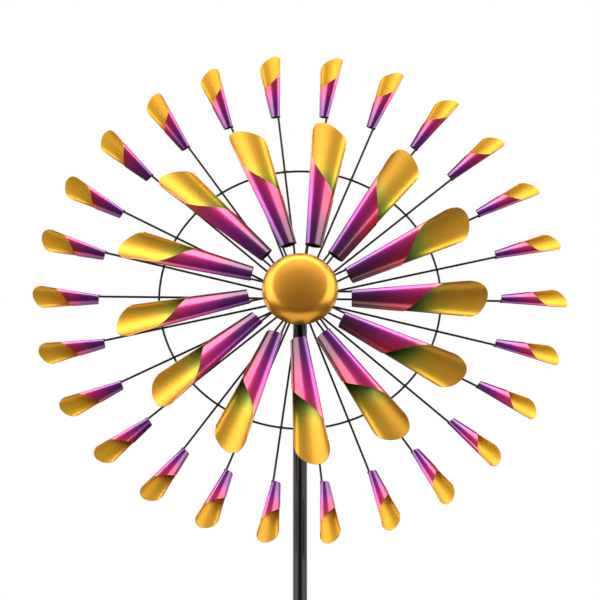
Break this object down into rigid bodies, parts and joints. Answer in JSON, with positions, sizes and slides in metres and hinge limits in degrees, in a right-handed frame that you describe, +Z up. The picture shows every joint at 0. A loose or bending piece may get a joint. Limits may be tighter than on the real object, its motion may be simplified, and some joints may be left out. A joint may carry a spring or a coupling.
{
  "type": "garden wind spinner",
  "caption": "Garden wind spinner: two counter-rotating wheels of rolled metal scoops with a domed hub on a spiked pole.",
  "frame": {"origin": "on the pole's axis at ground level, partway up the ground spike", "axes": "+Z up along the pole, +X to the right of somebody facing the wheels, -Y towards that person along the axle"},
  "size_m": [0.6106, 0.0892, 1.9036],
  "materials": {
    "fork_steel": "satin black powder coat",
    "pole_paint": "gloss black",
    "cap_plastic": "matt black",
    "fastener_steel": "zinc plated",
    "axle_steel": "bright drawn",
    "hub_paint": "satin black",
    "bush_plastic": "natural nylon",
    "wire_paint": "satin black-brown",
    "small_scoop_paint": "satin metallic, violet to magenta outside, gold to red inside",
    "large_scoop_paint": "satin metallic, violet to pink outside, gold to green inside",
    "dome_gold": "satin metallic gold",
    "plate_steel": "satin black"
  },
  "bodies": {
    "stand": {"ground_spike": "fork_steel", "step_bar": "fork_steel", "fork_prongs": "fork_steel", "pole_lower": "pole_paint", "pole_middle": "pole_paint", "pole_upper": "pole_paint", "pole_cap": "cap_plastic", "pole_joint_screws": "fastener_steel", "axle": "axle_steel", "axle_nuts": "fastener_steel", "axle_spacers": "fastener_steel"},
    "rear_rotor": {"rear_hub": "hub_paint", "rear_bushings": "bush_plastic", "rear_spokes": "wire_paint", "spoke_ring": "wire_paint", "small_scoop_01": "small_scoop_paint", "small_scoop_02": "small_scoop_paint", "small_scoop_03": "small_scoop_paint", "small_scoop_04": "small_scoop_paint", "small_scoop_05": "small_scoop_paint", "small_scoop_06": "small_scoop_paint", "small_scoop_07": "small_scoop_paint", "small_scoop_08": "small_scoop_paint", "small_scoop_09": "small_scoop_paint", "small_scoop_10": "small_scoop_paint", "small_scoop_11": "small_scoop_paint", "small_scoop_12": "small_scoop_paint", "small_scoop_13": "small_scoop_paint", "small_scoop_14": "small_scoop_paint", "small_scoop_15": "small_scoop_paint", "small_scoop_16": "small_scoop_paint", "small_scoop_17": "small_scoop_paint", "small_scoop_18": "small_scoop_paint", "small_scoop_19": "small_scoop_paint", "small_scoop_20": "small_scoop_paint", "small_scoop_21": "small_scoop_paint", "small_scoop_22": "small_scoop_paint", "small_scoop_23": "small_scoop_paint", "small_scoop_24": "small_scoop_paint", "small_scoop_25": "small_scoop_paint", "small_scoop_26": "small_scoop_paint"},
    "front_rotor": {"front_hub": "hub_paint", "front_bushings": "bush_plastic", "front_spokes": "wire_paint", "hub_dome": "dome_gold", "dome_backplate": "plate_steel", "large_scoop_01": "large_scoop_paint", "large_scoop_02": "large_scoop_paint", "large_scoop_03": "large_scoop_paint", "large_scoop_04": "large_scoop_paint", "large_scoop_05": "large_scoop_paint", "large_scoop_06": "large_scoop_paint", "large_scoop_07": "large_scoop_paint", "large_scoop_08": "large_scoop_paint", "large_scoop_09": "large_scoop_paint", "large_scoop_10": "large_scoop_paint", "large_scoop_11": "large_scoop_paint", "large_scoop_12": "large_scoop_paint", "large_scoop_13": "large_scoop_paint"}
  },
  "joints": [
    {"name": "rear_wheel_spin", "type": "hinge", "parent": "stand", "child": "rear_rotor", "pos_m": [0, -0.024, 1.4], "axis": [0, -1, 0], "continuous": true},
    {"name": "front_wheel_spin", "type": "hinge", "parent": "stand", "child": "front_rotor", "pos_m": [0, -0.0465, 1.4], "axis": [0, -1, 0], "continuous": true}
  ]
}
